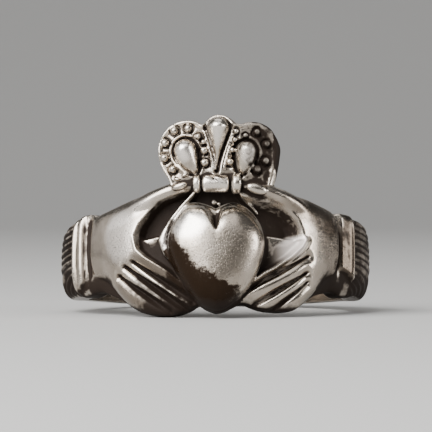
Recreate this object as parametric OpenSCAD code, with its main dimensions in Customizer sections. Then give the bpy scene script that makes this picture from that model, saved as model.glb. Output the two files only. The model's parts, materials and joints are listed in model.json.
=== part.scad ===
/* [Finger hole] */
// Diameter of the finger hole
bore_d = 17.7; // [15:0.1:21]
// How far the hole opens out behind the top of the crown
crown_flare = 0.25; // [0.1:0.05:0.5]
// How far the hole opens out behind the lower edge of the hands
hand_flare = 0.15; // [0.1:0.05:0.3]

/* [Shank] */
// Width of the band at the back of the finger
back_w = 3; // [2.4:0.1:4]
// Thickness of the band at the back of the finger
back_t = 1.4; // [1.1:0.05:1.8]
// Thickness of the rounded edge all the way round
edge_t = 0.95; // [0.8:0.05:1.05]

/* [Cuffs] */
// Distance along the band from the middle of the face to the inner edge of each cuff
cuff_start = 11.1; // [10.7:0.1:11.6]
// Width of the smooth cuff band, along the finger's girth
cuff_band_w = 2; // [1.6:0.1:2.4]
// Length of the pleated frill behind the smooth band
frill_len = 5.2; // [4.2:0.1:5.8]
// Height of the frill along the finger
frill_h = 5.3; // [4.6:0.1:5.9]
// Thickness of the band under the frill
frill_t = 1.85; // [1.6:0.05:2.2]
// Height of the cuff's round ridges over the band
cuff_ridge = 0.3; // [0.1:0.05:0.45]
// Depth of the frill's pleats
pleat_depth = 0.18; // [0.05:0.01:0.25]
// How far the pleats sweep down towards the back of the frill
pleat_sweep = 0.6; // [0:0.1:0.9]
// Number of pleats on each frill
pleats = 11; // [9:1:13]

/* [Hands] */
// Height of the thumbs' upper outline over the middle of the band
hand_up = 4.3; // [3.9:0.1:4.7]
// Drop of the fingers' lower outline under the middle of the band
hand_drop = 4.65; // [4.25:0.1:4.95]
// Thickness of the metal at the backs of the hands
hand_t = 2.35; // [2:0.05:2.7]
// Thickness of the metal at the wrists
wrist_t = 1.8; // [1.55:0.05:2]
// Thickness of the metal left at the bottom of the palms' hollows
palm_t = 1; // [0.9:0.05:1.2]
// Distance from the middle of the face to the far corner of the palm's hollow
palm_reach = 6; // [5.6:0.1:6.4]
// Thickness of the metal on the flat of the palms, under their fold
palm_flat_t = 1.55; // [1.35:0.05:1.75]
// Depth of the grooves between the fingers
finger_groove = 0.4; // [0.2:0.05:0.5]
// Height of the thumb's ridge over the palm's rim
thumb_rise = 0.25; // [0.1:0.05:0.4]

/* [Heart] */
// Width of the heart
heart_w = 6.7; // [6:0.1:7.2]
// Height of the heart from its point to the top of its lobes
heart_h = 7.4; // [6.8:0.1:7.6]
// Height of the middle of the heart over the middle of the band
heart_z = -0.4; // [-0.6:0.05:-0.1]
// Thickness of the metal round the foot of the heart
heart_foot_t = 1.85; // [1.6:0.05:2]
// Thickness of the metal at the top of the heart's dome
heart_t = 3.4; // [3:0.05:3.6]
// Length of the cleft between the heart's lobes
cleft_len = 1.7; // [1.3:0.1:2.1]

/* [Crown] */
// Widest width of the crown
crown_w = 9.1; // [8.4:0.1:9.6]
// Height of the crown from its neck to the top of its middle lobe
crown_h = 4.6; // [4.1:0.1:5.1]
// Distance of the middle of the crown's plate to the right of its drops and beads
crown_shift = 0.28; // [0:0.02:0.4]
// Fall of the plate's worn right margin
crown_wear = 0.35; // [0:0.05:0.5]
// Thickness of the crown's plate
crown_t = 1.75; // [1.5:0.05:2]
// Height of the crown's rims and beads over its plate
rim_rise = 0.35; // [0.2:0.05:0.5]
// Height of the crown's three drops over its plate
drop_rise = 0.95; // [0.6:0.05:1.2]
// Radius of the crown's beads
bead_r = 0.3; // [0.22:0.02:0.34]
// Width of the bar across the foot of the crown
bar_w = 3.2; // [2.8:0.1:3.6]
// Height of that bar along the finger
bar_h = 1.15; // [1:0.05:1.3]

/* [Hidden] */

bore_r = bore_d / 2;
// Radius at which lengths along the face are measured
face_r = bore_r * 1.243;
half_girth = PI * face_r;
frill_start = cuff_start + cuff_band_w;
frill_end = frill_start + frill_len;
neck_half = crown_w * 0.43;
heart_half = heart_w / 2;
// Height of the heart's outline in its table, in half widths
heart_span = 2.2;
bar_z = hand_up - bar_h / 4;
groove_w = finger_groove * 0.55;
rim_w = rim_rise * 0.42;
inner_r = bore_r * 0.93;

// Grid of the surface: rows across the band, three to a pleat, and columns round it
rows = 3 * pleats;
crown_cols = 44;
crown_rows = 26;
palm_cols = 6;
hand_cols = 11;
cuff_cols = 8;
frill_cols = 5;
back_cols = 7;

function clamp(x, lo = 0, hi = 1) = min(max(x, lo), hi);
function ease(x) = let (c = clamp(x)) c * c * (3 - 2 * c);
function mix(a, b, k) = a + (b - a) * k;
function hump(x, w) = exp(-(x * x) / (w * w));
function steps(a, b, n) = [for (i = [0 : n - 1]) mix(a, b, i / n)];

// Smooth curve through the rows of a table: x in the first column, the value in column c
function row_at(t, x, i = 0) = (i >= len(t) - 2 || x < t[i + 1][0]) ? i : row_at(t, x, i + 1);
function slope_at(t, c, i) =
    let (a = max(i - 1, 0), b = min(i + 1, len(t) - 1))
    (t[b][c] - t[a][c]) / (t[b][0] - t[a][0]);
function curve(t, x, c = 1) =
    let (
        q = clamp(x, t[0][0], t[len(t) - 1][0]),
        i = row_at(t, q),
        d = t[i + 1][0] - t[i][0],
        k = (q - t[i][0]) / d,
        k2 = k * k,
        k3 = k2 * k
    )
    t[i][c] * (2 * k3 - 3 * k2 + 1) + t[i + 1][c] * (3 * k2 - 2 * k3)
    + d * (slope_at(t, c, i) * (k3 - 2 * k2 + k) + slope_at(t, c, i + 1) * (k3 - k2));

// Outline of the hands, from the middle of the face to the cuff
// columns: share of cuff_start, top and bottom of the left hand, top and bottom of the right,
// the tops as shares of hand_up and the bottoms of hand_drop
HAND_EDGE = [
    [0,     1,     -0.957, 1,     -0.957],
    [0.057, 1,     -0.92,  1,     -0.945],
    [0.115, 1,     -0.854, 1,     -0.886],
    [0.181, 1,     -0.903, 1,     -0.84],
    [0.258, 1,     -0.972, 1,     -0.865],
    [0.344, 0.95,  -1,     0.98,  -0.915],
    [0.449, 0.874, -0.98,  0.907, -0.927],
    [0.554, 0.812, -0.915, 0.847, -0.9],
    [0.63,  0.763, -0.832, 0.814, -0.81],
    [0.716, 0.709, -0.722, 0.765, -0.692],
    [0.82,  0.65,  -0.626, 0.7,   -0.602],
    [0.87,  0.63,  -0.593, 0.67,  -0.578],
    [0.935, 0.607, -0.555, 0.636, -0.552],
    [1,     0.65,  -0.552, 0.65,  -0.552],
];
// Lower edge of the hand and wrist, where they stand over the plain band
// columns: share of cuff_start, height as a share of hand_drop
WRIST_EDGE = [
    [0.525, -1],
    [0.6,   -0.87],
    [0.67,  -0.75],
    [0.745, -0.61],
    [0.83,  -0.44],
    [1,     -0.36],
];
// Outline of the band from the cuff to the back
// columns: share of the way, top and bottom as shares of half the frill's height
BAND_EDGE = [
    [0,     1.055, -0.97],
    [0.055, 1.05,  -1.01],
    [0.115, 0.915, -1],
    [0.21,  0.815, -0.94],
    [0.295, 0.735, -0.85],
    [0.465, 0.63,  -0.71],
    [0.72,  0.565, -0.59],
    [1,     0.545, -0.545],
];
// Palm's hollow: reach of its outer edge at each height
// columns: height over the middle of the band as a share of hand_up, reach as a share of palm_reach
PALM_EDGE = [
    [-0.62, 0.36],
    [-0.55, 0.42],
    [-0.4,  0.57],
    [-0.16, 0.83],
    [-0.03, 0.93],
    [0.17,  1],
    [0.35,  0.94],
    [0.55,  0.83],
    [0.71,  0.67],
    [0.81,  0.47],
    [0.88,  0.3],
];
// Grooves between the fingers, from the knuckle to the tip
// columns: knuckle's reach and height, tip's reach and height, as shares of palm_reach and hand_drop
FINGER_GROOVES = [
    [1.04, -0.17, 0.4,  -0.71],
    [1.11, -0.29, 0.36, -0.95],
    [1.17, -0.42, 0.6,  -0.96],
];
// Outline of the heart from the notch round one side to its point
// columns: angle from the top, distance from the middle as a share of half the width
HEART_EDGE = [
    [0,   0.86],
    [12,  0.957],
    [23,  1.05],
    [34,  1.105],
    [48,  1.105],
    [63,  1.09],
    [77,  1.055],
    [90,  0.995],
    [107, 0.955],
    [124, 0.95],
    [141, 0.985],
    [160, 1.1],
    [171, 1.205],
    [180, 1.235],
];
// Side of the crown from its neck to its shoulder
// columns: share of the way, half width as a share of crown_w, height as a share of crown_h
CROWN_SIDE = [
    [0,    0.43,  0],
    [0.25, 0.465, 0.19],
    [0.5,  0.495, 0.37],
    [0.78, 0.497, 0.56],
    [1,    0.465, 0.71],
];
// Top of the crown from its shoulder to the middle
// columns: share of the way, half width as a share of crown_w, height as a share of crown_h
CROWN_TOP = [
    [0,    0.465, 0.71],
    [0.14, 0.4,   0.82],
    [0.33, 0.3,   0.905],
    [0.5,  0.2,   0.92],
    [0.66, 0.12,  0.885],
    [0.76, 0.085, 0.93],
    [0.88, 0.045, 0.985],
    [1,    0,     1],
];
// Beads on each half of the crown
// columns: distance from the middle as a share of crown_w, height as a share of crown_h
BEADS = [
    [0.327, 0.19],
    [0.392, 0.365],
    [0.387, 0.587],
    [0.314, 0.76],
    [0.209, 0.79],
    [0.134, 0.665],
    [0.09,  0.457],
    [0.087, 0.276],
];
// Drops on the crown: the middle one and the one on each side
// columns: head's distance from the middle and height, the tip's, and the radius
// the distances and the radius as shares of crown_w, the heights of crown_h
DROPS = [
    [0,     0.783, 0,     0.163, 0.075],
    [0.227, 0.455, 0.148, 0.076, 0.072],
];

// Top and bottom of the band at a distance u along the face, right of the middle when positive
function band_share(u) = (abs(u) - cuff_start) / (half_girth - cuff_start);
function band_half(u) = mix(frill_h, back_w / BAND_EDGE[7][1], ease(band_share(u) * 1.6 - 0.3)) / 2;
function top_edge(u) =
    abs(u) < cuff_start
    ? curve(HAND_EDGE, abs(u) / cuff_start, u < 0 ? 1 : 3) * hand_up
    : curve(BAND_EDGE, band_share(u), 1) * band_half(u);
function bottom_edge(u) =
    abs(u) < cuff_start
    ? curve(HAND_EDGE, abs(u) / cuff_start, u < 0 ? 2 : 4) * hand_drop
    : curve(BAND_EDGE, band_share(u), 2) * band_half(u);
function wrist_edge(u) =
    abs(u) < cuff_start
    ? max(bottom_edge(u), curve(WRIST_EDGE, abs(u) / cuff_start) * hand_drop)
    : bottom_edge(u);

// Thickness along the middle of the band, from the hands over the wrists to the back
function middle_t(u) =
    let (d = abs(u))
    d < cuff_start
    ? mix(hand_t, wrist_t, ease((d - palm_reach * 0.85) / (cuff_start * 0.94 - palm_reach * 0.85)))
    : d < frill_end
    ? mix(wrist_t, frill_t, ease((d - cuff_start) / cuff_band_w))
    : mix(frill_t, back_t, ease((d - frill_end) / (half_girth - frill_end) * 1.5));

// Rounded body that the carving starts from; under the wrist's edge only the thin band is left
function body(u, z) =
    let (
        hi = top_edge(u) + max(0, neck_half - abs(u)) * 0.3,
        lo = wrist_edge(u),
        e = clamp(abs(2 * z - hi - lo) / (hi - lo))
    )
    edge_t + (middle_t(u) - edge_t) * pow(1 - pow(e, 2.6), 0.6);

// Smooth band with two ridges, and the pleated frill behind it
function cuff(u, share) =
    let (
        d = abs(u),
        wide = hump(d - cuff_start - cuff_band_w * 0.35, cuff_band_w * 0.25),
        thin = hump(d - cuff_start - cuff_band_w * 0.85, cuff_band_w * 0.12),
        side = pow(max(0, 1 - pow(abs(2 * share - 1), 3)), 0.5),
        along = (d - frill_start) / frill_len,
        on_frill = ease(along * 12) * ease((1 - along) * 8)
    )
    cuff_ridge * (wide + thin - 0.5 * hump(d - cuff_start, cuff_band_w * 0.15)) * side
    + on_frill * (cuff_ridge * 0.4 + pleat_depth / 2 * cos(360 * pleats * share));

// Thumb's ridge along the upper edge, over the palm's hollow
function thumb(u, z) =
    let (d = abs(u), on = ease(d / neck_half * 2 - 0.8) * ease((palm_reach * 1.2 - d) / neck_half * 1.5))
    thumb_rise * on * hump(z - top_edge(u) + hand_up * 0.14, hand_up * 0.12);

// Thickness of the metal inside the palm: a deep hollow over its fold, a sloping flat under it
function palm(u, z, around) =
    let (
        grow = u < 0 ? 0.96 : 1.05,
        s = z / hand_up,
        reach = curve(PALM_EDGE, s) * palm_reach * grow,
        ahead = curve(PALM_EDGE, s + 0.03) * palm_reach * grow,
        lean = (ahead - reach) / (0.03 * hand_up),
        inside = (reach - abs(u)) / sqrt(1 + lean * lean),
        over = ease(s * 5 - 0.4),
        wall = ease(inside / (palm_reach * 0.11)) * ease((0.88 - s) / 0.06),
        flat = palm_flat_t + (around - palm_flat_t) * 0.4 * ease(abs(u) / palm_reach * 2 - 1)
    )
    mix(around, mix(flat, palm_t, over), s < PALM_EDGE[0][0] ? 0 : wall);

// Depth of the grooves between the fingers at a point
function off_line(p, a, b) = let (ab = b - a) norm(p - a - ab * clamp((p - a) * ab / (ab * ab)));
function share_along(p, a, b) = let (ab = b - a) (p - a) * ab / (ab * ab);
function fingers(u, z) =
    max([for (g = FINGER_GROOVES)
        let (
            p = [abs(u), z],
            a = [g[0] * palm_reach, g[1] * hand_drop],
            b = [g[2] * palm_reach, g[3] * hand_drop]
        )
        ease(share_along(p, a, b) * 5 + 0.2) * hump(off_line(p, a, b), groove_w)]) * finger_groove;

// Distance of a point from the heart's middle as a share of the heart's outline there
function heart_share(u, z) =
    let (
        p = [u / heart_half, (z - heart_z) / heart_h * heart_span],
        r = norm(p),
        angle = r < 0.001 ? 0 : acos(clamp(p[1] / r, -1, 1))
    )
    r / curve(HEART_EDGE, angle);
function cleft(u, z) =
    let (
        notch = heart_z + HEART_EDGE[0][1] * heart_h / heart_span,
        k = clamp((z - notch + cleft_len) / cleft_len, 0, 1.3)
    )
    1 - (0.75 * k + 0.1) * ease(k * 4) * hump(u / heart_w, 0.015 + 0.06 * k);

// Relief on the crown over its plate: drops, the rims round them, and beads
function drop_spot(row, i) = [row[i] * crown_w, row[i + 1] * crown_h];
function teardrop(p, row) =
    let (
        head = drop_spot(row, 0),
        tip = drop_spot(row, 2),
        k = clamp(share_along(p, head, tip)),
        q = off_line(p, head, tip) / (row[4] * crown_w * mix(1, 0.25, ease(k * 1.2)))
    )
    sqrt(max(0, 1 - q * q)) * (1 - 0.35 * k);
function side_rim(p) =
    let (head = drop_spot(DROPS[1], 0), tip = drop_spot(DROPS[1], 2), k = clamp(share_along(p, head, tip)))
    hump(off_line(p, head, tip) - crown_w * mix(0.106, 0.06, k), rim_w);
function middle_rim(p) =
    let (foot = [crown_w * 0.03, crown_h * 0.17], top = [crown_w * 0.11, crown_h * 0.75])
    hump(off_line(p, foot, top), rim_w);
function bead(p) =
    max([for (b = BEADS) sqrt(max(0, 1 - pow(norm(p - [b[0] * crown_w, b[1] * crown_h]) / bead_r, 2)))]);
function crown_relief(u, z) =
    let (
        p = [abs(u), z - hand_up],
        drop = max(teardrop(p, DROPS[0]), teardrop(p, DROPS[1]) * 0.8),
        margin = ease((u - crown_shift) / crown_w * 16 - 6.9)
    )
    max(drop_rise * drop, rim_rise * max(bead(p), side_rim(p), middle_rim(p))) - crown_wear * margin;
// Bar across the foot of the crown with two rings round it
function bar(u, z) =
    let (
        x = abs(u),
        q = clamp(abs(z - bar_z) / (bar_h / 2)),
        on = ease((bar_w / 2 - x) / (bar_w * 0.08)),
        ring = 0.9 - 0.35 * hump(x - bar_w * 0.29, bar_w * 0.04)
    )
    on * sqrt(1 - q * q) * ring;

// Thickness of the metal at a point of the face, share across the band given too
function metal(u, z, share) =
    let (
        d = abs(u),
        hand = body(u, z) + (d < cuff_start ? thumb(u, z) : 0),
        carved = d < palm_reach * 1.25 ? palm(u, z, hand) - fingers(u, z) : hand,
        over_neck = ease((z - hand_up) / bar_h * 4 + 0.9),
        on_crown = over_neck * ease((neck_half - abs(u - crown_shift)) / bar_h * 3 + 2),
        crowned = mix(carved, crown_t + crown_relief(u, z), on_crown),
        barred = max(crowned, palm_t + (crown_t + drop_rise * 0.8 - palm_t) * bar(u, z)),
        q = d < heart_w ? heart_share(u, z) : 2,
        foot = mix(heart_foot_t, barred, ease((q - 1) / 0.12)),
        dome = heart_foot_t + (heart_t - heart_foot_t) * pow(max(0, 1 - pow(q, 3)), 0.55) * cleft(u, z)
    )
    max(edge_t * 0.9,
        d > cuff_start - cuff_band_w / 2 ? carved + cuff(u, share)
        : q < 1 ? dome
        : q < 1.12 ? foot
        : barred);

// Point of the ring at a distance u along the face, a height z and a radius r
function at(u, z, r) = let (a = u / face_r * 180 / PI) [r * sin(a), -r * cos(a), z];

// Columns round the band, denser under the crown
neck_l = crown_shift - neck_half;
neck_r = crown_shift + neck_half;
wrist_end = cuff_start - cuff_band_w * 0.15;
COLS = concat(
    steps(-half_girth, -frill_end, back_cols),
    steps(-frill_end, -frill_start, frill_cols),
    steps(-frill_start, -wrist_end, cuff_cols),
    steps(-wrist_end, -palm_reach, hand_cols),
    steps(-palm_reach, neck_l, palm_cols),
    steps(neck_l, neck_r, crown_cols),
    steps(neck_r, palm_reach, palm_cols),
    steps(palm_reach, wrist_end, hand_cols),
    steps(wrist_end, frill_start, cuff_cols),
    steps(frill_start, frill_end, frill_cols),
    steps(frill_end, half_girth, back_cols)
);
cols = len(COLS);
first = back_cols + frill_cols + cuff_cols + hand_cols + palm_cols;
last = first + crown_cols;

// Height of row j in column i; the rows sweep down along the frill, and its pleats with them
function sweep(u) = ease((abs(u) - frill_start) / frill_len) * ease((half_girth - abs(u)) / frill_len);
function band_z(i, j) =
    mix(bottom_edge(COLS[i]), top_edge(COLS[i]), pow(j / rows, 1 + pleat_sweep * sweep(COLS[i])));
function crown_side(k) = [curve(CROWN_SIDE, k, 1) * crown_w, hand_up + curve(CROWN_SIDE, k, 2) * crown_h];
function crown_top(s) =
    let (k = 1 - abs(2 * s - 1))
    [sign(2 * s - 1) * curve(CROWN_TOP, k, 1) * crown_w, hand_up + curve(CROWN_TOP, k, 2) * crown_h];
// Crown's grid, blended from its four sides
function crown_uz(i, j) =
    let (
        s = i / crown_cols,
        k = j / crown_rows,
        foot = [mix(-neck_half, neck_half, s), hand_up],
        side = crown_side(k),
        left = [-side[0], side[1]],
        top = crown_top(s),
        corner = crown_side(1)
    )
    [crown_shift, 0] + mix(foot, top, k) + mix(left, side, s)
    - mix([mix(-neck_half, neck_half, s), hand_up], [mix(-corner[0], corner[0], s), corner[1]], k);

BAND_OUT = [for (i = [0 : cols - 1], j = [0 : rows])
    let (z = band_z(i, j)) at(COLS[i], z, bore_r + metal(COLS[i], z, j / rows))];
CROWN_OUT = [for (i = [0 : crown_cols], j = [1 : crown_rows])
    let (
        p = crown_uz(i, j),
        lip = (i == 0 || i == crown_cols || j == crown_rows) ? crown_t * 0.25 : 0
    )
    at(p[0], p[1], bore_r + metal(p[0], p[1], 0) - lip)];
BAND_IN = [for (i = [0 : cols - 1], j = [0, rows]) at(COLS[i], band_z(i, j), inner_r)];
RIM = concat(
    [for (j = [1 : crown_rows]) [0, j]],
    [for (i = [1 : crown_cols - 1]) [i, crown_rows]],
    [for (j = [crown_rows : -1 : 1]) [crown_cols, j]]
);
CROWN_IN = [for (c = RIM) let (p = crown_uz(c[0], c[1])) at(p[0], p[1], inner_r)];
MIDDLE = [at(crown_shift, hand_up + crown_h * 0.4, inner_r)];
POINTS = concat(BAND_OUT, CROWN_OUT, BAND_IN, CROWN_IN, MIDDLE);

crown_from = len(BAND_OUT);
in_from = crown_from + len(CROWN_OUT);
rim_from = in_from + len(BAND_IN);
middle_at = len(POINTS) - 1;
function out_id(i, j) = (i % cols) * (rows + 1) + j;
function crown_id(i, j) = j == 0 ? out_id(first + i, rows) : crown_from + i * crown_rows + j - 1;
function in_id(i, k) = in_from + (i % cols) * 2 + k;
RIM_OUT = concat([crown_id(0, 0)], [for (c = RIM) crown_id(c[0], c[1])], [crown_id(crown_cols, 0)]);
RIM_IN = concat([in_id(first, 1)], [for (k = [0 : len(RIM) - 1]) rim_from + k], [in_id(last, 1)]);
function quad(a, b, c, d) = [[a, b, c], [a, c, d]];
// The squares are cut along the diagonal that the fingers, and over them the palm's edge, follow
function face_quad(i, j, a, b, c, d) =
    (i < (first + last) / 2) == (j < rows / 2) ? quad(b, c, d, a) : quad(a, b, c, d);
function pairs(list) = [for (a = list, b = a) b];
FACES = concat(
    pairs([for (i = [0 : cols - 1], j = [0 : rows - 1])
        face_quad(i, j, out_id(i, j), out_id(i, j + 1), out_id(i + 1, j + 1), out_id(i + 1, j))]),
    pairs([for (i = [0 : crown_cols - 1], j = [0 : crown_rows - 1])
        quad(crown_id(i, j), crown_id(i, j + 1), crown_id(i + 1, j + 1), crown_id(i + 1, j))]),
    pairs([for (i = [0 : cols - 1]) quad(in_id(i, 0), in_id(i + 1, 0), in_id(i + 1, 1), in_id(i, 1))]),
    pairs([for (i = [0 : cols - 1]) quad(out_id(i, 0), out_id(i + 1, 0), in_id(i + 1, 0), in_id(i, 0))]),
    pairs([for (i = [0 : cols - 1]) if (i < first || i >= last)
        quad(out_id(i, rows), in_id(i, 1), in_id(i + 1, 1), out_id(i + 1, rows))]),
    pairs([for (k = [0 : len(RIM_OUT) - 2])
        quad(RIM_OUT[k], RIM_IN[k], RIM_IN[k + 1], RIM_OUT[k + 1])]),
    [for (k = [0 : len(RIM_IN) - 2]) [RIM_IN[k], middle_at, RIM_IN[k + 1]]],
    [for (i = [first : last - 1]) [in_id(i, 1), in_id(i + 1, 1), middle_at]]
);

// Lying on its side: tilt at which the fingers and the back of the band touch one plane
hole_top = (hand_up + crown_h) * 1.05;
hole_foot = -hand_drop * 1.1;
function hole_r(z) = bore_r + hand_flare * clamp((z + back_w / 2) / (hole_foot + back_w / 2));
HOLE_EDGE = [for (u = COLS) at(u, bottom_edge(u), hole_r(bottom_edge(u)))];
UNDER = [for (p = concat(BAND_OUT, HOLE_EDGE)) if (p[2] < 0) p];
FRONT = [for (p = UNDER) if (p[1] < 0) p];
BACK = [for (p = UNDER) if (p[1] > 0) p];
function low(points, t) = min([for (p = points) p[2] * cos(t) - p[1] * sin(t)]);
function tilt_at(lo, hi, n) =
    let (t = (lo + hi) / 2)
    n == 0 ? t
    : low(FRONT, t) > low(BACK, t) ? tilt_at(lo, t, n - 1) : tilt_at(t, hi, n - 1);
rest_tilt = tilt_at(0, 30, 24);
rest_lift = -low(UNDER, rest_tilt);
FRONT_TO_BACK = [for (p = concat(BAND_OUT, CROWN_OUT)) p[1] * cos(rest_tilt) + p[2] * sin(rest_tilt)];
rest_back = -(min(FRONT_TO_BACK) + max(FRONT_TO_BACK)) / 2;

module casting() {
    polyhedron(points = POINTS, faces = FACES);
}

module finger_hole() {
    rotate_extrude($fn = 96)
        polygon([
            [0, hole_foot], [bore_r + hand_flare, hole_foot], [bore_r, -back_w / 2],
            [bore_r, back_w / 2], [bore_r + crown_flare, hole_top], [0, hole_top],
        ]);
}

module ring() {
    color("#8c857a")
        translate([0, rest_back, rest_lift])
            rotate([-rest_tilt, 0, 0])
                difference() {
                    casting();
                    finger_hole();
                }
}

ring();
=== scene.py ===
import json
import math

import bpy
import numpy as np
from mathutils import Matrix, Vector


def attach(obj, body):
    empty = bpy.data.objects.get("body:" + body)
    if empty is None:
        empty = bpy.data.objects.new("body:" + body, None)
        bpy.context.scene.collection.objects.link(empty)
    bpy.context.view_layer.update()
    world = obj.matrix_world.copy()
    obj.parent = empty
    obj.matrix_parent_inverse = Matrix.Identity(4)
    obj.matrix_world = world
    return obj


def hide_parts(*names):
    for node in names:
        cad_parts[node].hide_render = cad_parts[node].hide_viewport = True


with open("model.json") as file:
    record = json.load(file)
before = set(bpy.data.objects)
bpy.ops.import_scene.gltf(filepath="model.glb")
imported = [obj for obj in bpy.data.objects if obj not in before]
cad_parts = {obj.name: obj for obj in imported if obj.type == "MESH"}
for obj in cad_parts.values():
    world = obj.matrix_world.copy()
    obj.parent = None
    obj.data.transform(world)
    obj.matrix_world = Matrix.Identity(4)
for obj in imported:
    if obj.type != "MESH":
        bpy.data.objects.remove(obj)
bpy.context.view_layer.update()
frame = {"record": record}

# Finger hole
# The one round hole that the ring is cast about, flared a little behind the crown and the hands. Its
# place, lean and radius come from the frame. All else is carved flat, like a strip of wax, in
# millimetres: u along the finger's girth, z along the finger and h off the hole.
bore = next(mount for mount in frame["record"]["mounts"] if mount["name"] == "finger_bore")
bore_r = bore["dims"]["r_mm"]
bore_w = bore["dims"]["length_mm"]
crown_flare, flare_top = 0.25, 9.5
hand_flare, flare_foot = 0.15, -5.15
# the height at which the flat wax keeps its length when it is bent
true_h = 2.15
face_r = bore_r + true_h
half_girth = math.pi * face_r


def hole_r(z):
    up = np.clip((z - bore_w / 2) / (flare_top - bore_w / 2), 0, None) * crown_flare
    down = np.clip((z + bore_w / 2) / (flare_foot + bore_w / 2), 0, None) * hand_flare
    return bore_r + up + down


# Band
# The plain tapering shank, rounded on its outside and cast with everything else in one pour.
# It is widest under the cuffs and thins to the back of the finger.
band_edge_t = 0.8
cuff_top_t, cuff_foot_t = 1.42, 0.95
# The strip's outline, which takes in the cuffs and the hands: distance along the girth, left top, left
# bottom, right top, right bottom
BAND_EDGE = [
    (0, 4.36, -4.45, 4.36, -4.45),
    (0.6, 4.36, -4.28, 4.36, -4.4),
    (1.3, 4.36, -3.99, 4.36, -4.12),
    (2.0, 4.36, -4.3, 4.36, -3.87),
    (2.9, 4.3, -4.56, 4.36, -4.1),
    (3.8, 4.06, -4.66, 4.26, -4.28),
    (4.6, 3.84, -4.62, 4.0, -4.31),
    (5.4, 3.66, -4.47, 3.78, -4.3),
    (6.2, 3.48, -4.25, 3.63, -4.17),
    (7.0, 3.28, -3.87, 3.5, -3.76),
    (7.9, 3.06, -3.38, 3.3, -3.24),
    (8.7, 2.88, -3.05, 3.12, -2.92),
    (9.6, 2.72, -2.78, 2.93, -2.7),
    (10.35, 2.6, -2.58, 2.72, -2.56),
    (10.75, 2.74, -2.58, 2.86, -2.6),
    (11.2, 2.82, -2.66, 2.88, -2.72),
    (12.2, 2.78, -2.72, 2.84, -2.76),
    (12.8, 2.64, -2.68, 2.74, -2.7),
    (13.8, 2.56, -2.58, 2.74, -2.56),
    (16, 2.46, -2.44, 2.68, -2.46),
    (17.8, 2.3, -2.32, 2.46, -2.36),
    (18.8, 1.98, -2.2, 2.02, -2.2),
    (22, 1.7, -1.92, 1.72, -1.92),
    (28, 1.54, -1.62, 1.54, -1.62),
    (half_girth + 0.2, 1.5, -1.5, 1.5, -1.5),
]
# columns: distance along the girth, thickness along the middle of the band
BAND_T = [
    (0, 1.1), (9, 1.15), (10.6, 1.5), (12.8, 1.86), (16, 2.0), (18, 1.92), (22, 1.66), (27, 1.48),
    (34.8, 1.4),
]
# what the cast edge loses when it is eased
eased = 0.03
# how far the strip's two ends run past each other at the back
lap = 0.15
face_columns = 420
side_columns = [40, 35, 35]
rows_across = 150
parts = []


def spots_of(piece):
    flat = np.empty(len(piece.data.vertices) * 3)
    piece.data.vertices.foreach_get("co", flat)
    return flat.reshape(-1, 3)


def put_spots(piece, spots):
    piece.data.vertices.foreach_set("co", np.asarray(spots, float).ravel())
    piece.data.update()


def only(piece):
    bpy.ops.object.select_all(action="DESELECT")
    piece.select_set(True)
    bpy.context.view_layer.objects.active = piece


def ease(x):
    """A smooth step from 0 to 1 as x goes from 0 to 1."""
    x = np.clip(x, 0, 1)
    return x * x * (3 - 2 * x)


def dome(q, power, root):
    """A round top: 1 in the middle, 0 where q reaches 1 to either side."""
    return np.maximum(0, 1 - np.abs(q) ** power) ** root


def follow(table, x, column=1):
    """Smooth curve through the rows of a table, x in the first column."""
    rows = np.array(table, float)
    xs, ys = rows[:, 0], rows[:, column]
    slope = np.gradient(ys, xs)
    x = np.clip(x, xs[0], xs[-1])
    i = np.clip(np.searchsorted(xs, x) - 1, 0, len(xs) - 2)
    d = xs[i + 1] - xs[i]
    k = (x - xs[i]) / d
    lift = ys[i] * (1 + 2 * k) * (1 - k) ** 2 + ys[i + 1] * k * k * (3 - 2 * k)
    return lift + d * (slope[i] * k * (1 - k) ** 2 - slope[i + 1] * k * k * (1 - k))


def by_side(table, left_column, right_column):
    """A table's curve along the girth, from one column on the left and from another on the right."""
    return np.where(right, follow(table, d, right_column), follow(table, d, left_column))


def sheet(columns, rows):
    """A grid of wax, given back with each point's share along it and across it."""
    bpy.ops.object.select_all(action="DESELECT")
    bpy.ops.mesh.primitive_grid_add(x_subdivisions=columns, y_subdivisions=rows, size=1)
    piece = bpy.context.object
    spots = spots_of(piece)
    return piece, spots[:, 0] + 0.5, spots[:, 1] + 0.5


def thicken(piece):
    """Gives a sheet of wax its body: it is pulled down to the finger and closed all round."""
    only(piece)
    bpy.ops.object.mode_set(mode="EDIT")
    bpy.ops.mesh.select_all(action="SELECT")
    bpy.ops.mesh.extrude_region()
    bpy.ops.transform.resize(value=(1, 1, 0), center_override=(0, 0, 0))
    bpy.ops.mesh.select_all(action="SELECT")
    bpy.ops.mesh.normals_make_consistent(inside=False)
    bpy.ops.object.mode_set(mode="OBJECT")
    parts.append(piece)


columns = face_columns + 2 * sum(side_columns)
shares = np.cumsum([0, *side_columns, face_columns / 2, face_columns / 2, *side_columns[::-1]])
stops = [-half_girth - lap, -18.5, -12.9, -10.2, 0, 10.2, 12.9, 18.5, half_girth + lap]
band, along, across = sheet(columns, rows_across)
u = np.interp(along * columns, shares, stops)
# distance along the girth from the middle of the face, to either side
d = np.abs(u)
right = u > 0
top = by_side(BAND_EDGE, 1, 3) + eased
foot = by_side(BAND_EDGE, 2, 4) - eased
z = foot + (top - foot) * across
from_middle = 2 * across - 1
# under the sleeves the band is full, with square edges
full = ease((d - 9.9) / 0.8) * ease((18.9 - d) / 1.2)
edge_t = band_edge_t + (np.where(from_middle > 0, cuff_top_t, cuff_foot_t) - band_edge_t) * full
h = edge_t + (follow(BAND_T, d) - edge_t) * dome(from_middle, 2.2 + 0.8 * full, 0.57 - 0.07 * full)

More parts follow.
